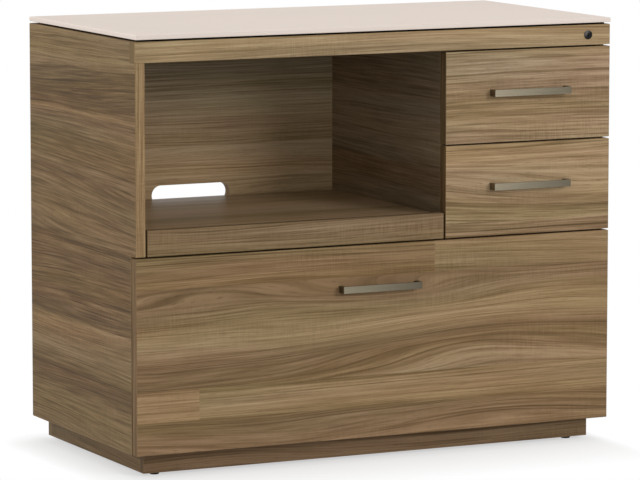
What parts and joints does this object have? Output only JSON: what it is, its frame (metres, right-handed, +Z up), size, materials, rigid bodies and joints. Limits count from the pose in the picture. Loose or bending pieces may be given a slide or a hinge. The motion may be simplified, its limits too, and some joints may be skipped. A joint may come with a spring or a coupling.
{
  "type": "printer cabinet",
  "caption": "Office cabinet with an open printer bay over a pull-out shelf, small drawers beside it, a lateral file drawer below, a gang lock and a floating glass top.",
  "frame": {"origin": "on the floor, midway between the sides, and midway between the outer faces of the pulls and the back of the case", "axes": "+X to the right seen from the front, +Y towards the back, +Z up"},
  "size_m": [0.92, 0.49, 0.7615],
  "materials": {
    "walnut": "satin walnut laminate, grain along the boards",
    "plinth_walnut": "satin walnut laminate",
    "birch": "clear lacquered birch plywood",
    "satin_glass": "satin-etched, back-painted",
    "black_board": "matt black",
    "satin_nickel": "satin nickel",
    "black_lock": "black, semi-gloss",
    "zinc_steel": "zinc-plated",
    "foot_plastic": "black nylon"
  },
  "bodies": {
    "case": {"left_side_panel": "walnut", "right_side_panel": "walnut", "top_panel": "walnut", "bottom_panel": "walnut", "mid_panel": "walnut", "divider_panel": "walnut", "back_panel": "walnut", "front_rail": "walnut", "plinth_front": "plinth_walnut", "plinth_rear": "plinth_walnut", "plinth_sides": "plinth_walnut", "corner_blocks": "birch", "leveller_bushes": "zinc_steel", "glass_top": "satin_glass", "glass_underlay": "black_board", "lock_housing": "black_lock", "upper_slide_outers": "zinc_steel", "lower_slide_outers": "zinc_steel", "file_slide_outers": "zinc_steel", "shelf_slide_outers": "zinc_steel"},
    "upper_drawer": {"upper_front": "walnut", "upper_pull": "satin_nickel", "upper_box_sides": "birch", "upper_box_ends": "birch", "upper_box_bottom": "birch", "upper_slide_inners": "zinc_steel", "upper_catch": "zinc_steel"},
    "lower_drawer": {"lower_front": "walnut", "lower_pull": "satin_nickel", "lower_box_sides": "birch", "lower_box_ends": "birch", "lower_box_bottom": "birch", "lower_slide_inners": "zinc_steel", "lower_catch": "zinc_steel"},
    "file_drawer": {"file_front": "walnut", "file_pull": "satin_nickel", "file_box_sides": "birch", "file_box_ends": "birch", "file_box_bottom": "birch", "file_slide_inners": "zinc_steel", "file_catch": "zinc_steel", "hanging_rails": "zinc_steel"},
    "printer_shelf": {"shelf_fascia": "walnut", "shelf_panel": "walnut", "shelf_cleats": "birch", "shelf_slide_inners": "zinc_steel"},
    "upper_middles": {"upper_slide_middles": "zinc_steel"},
    "lower_middles": {"lower_slide_middles": "zinc_steel"},
    "file_middles": {"file_slide_middles": "zinc_steel"},
    "shelf_middles": {"shelf_slide_middles": "zinc_steel"},
    "lock_cylinder": {"lock_plug": "black_lock", "lock_cam": "zinc_steel"},
    "gang_bar": {"lock_bar": "zinc_steel", "lock_arm": "zinc_steel", "lock_stops": "zinc_steel"},
    "front_left_foot": {"leveller_front_left": "foot_plastic"},
    "front_right_foot": {"leveller_front_right": "foot_plastic"},
    "rear_left_foot": {"leveller_rear_left": "foot_plastic"},
    "rear_right_foot": {"leveller_rear_right": "foot_plastic"}
  },
  "joints": [
    {"name": "upper_drawer_slide", "type": "slide", "parent": "case", "child": "upper_drawer", "axis": [0, -1, 0], "range_m": [0, 0.39]},
    {"name": "upper_middles_slide", "type": "slide", "parent": "case", "child": "upper_middles", "axis": [0, -1, 0], "range_m": [0, 0.195]},
    {"name": "lower_drawer_slide", "type": "slide", "parent": "case", "child": "lower_drawer", "axis": [0, -1, 0], "range_m": [0, 0.39]},
    {"name": "lower_middles_slide", "type": "slide", "parent": "case", "child": "lower_middles", "axis": [0, -1, 0], "range_m": [0, 0.195]},
    {"name": "file_drawer_slide", "type": "slide", "parent": "case", "child": "file_drawer", "axis": [0, -1, 0], "range_m": [0, 0.39]},
    {"name": "file_middles_slide", "type": "slide", "parent": "case", "child": "file_middles", "axis": [0, -1, 0], "range_m": [0, 0.195]},
    {"name": "printer_shelf_slide", "type": "slide", "parent": "case", "child": "printer_shelf", "axis": [0, -1, 0], "range_m": [0, 0.3]},
    {"name": "shelf_middles_slide", "type": "slide", "parent": "case", "child": "shelf_middles", "axis": [0, -1, 0], "range_m": [0, 0.15]},
    {"name": "lock_turn", "type": "hinge", "parent": "case", "child": "lock_cylinder", "pos_m": [0.415, -0.211, 0.732], "axis": [0, 1, 0], "range_deg": [0, 90]},
    {"name": "gang_bar_slide", "type": "slide", "parent": "case", "child": "gang_bar", "axis": [0, 0, -1], "range_m": [0, 0.0085]},
    {"name": "front_left_level", "type": "slide", "parent": "case", "child": "front_left_foot", "axis": [0, 0, -1], "range_m": [0, 0.012]},
    {"name": "front_right_level", "type": "slide", "parent": "case", "child": "front_right_foot", "axis": [0, 0, -1], "range_m": [0, 0.012]},
    {"name": "rear_left_level", "type": "slide", "parent": "case", "child": "rear_left_foot", "axis": [0, 0, -1], "range_m": [0, 0.012]},
    {"name": "rear_right_level", "type": "slide", "parent": "case", "child": "rear_right_foot", "axis": [0, 0, -1], "range_m": [0, 0.012]}
  ],
  "couplings": [
    {"joint": "upper_middles_slide", "follows": "upper_drawer_slide", "ratio": 0.5},
    {"joint": "lower_middles_slide", "follows": "lower_drawer_slide", "ratio": 0.5},
    {"joint": "file_middles_slide", "follows": "file_drawer_slide", "ratio": 0.5},
    {"joint": "shelf_middles_slide", "follows": "printer_shelf_slide", "ratio": 0.5},
    {"joint": "lock_turn", "follows": "gang_bar_slide", "rad_per_m": 184.79}
  ]
}
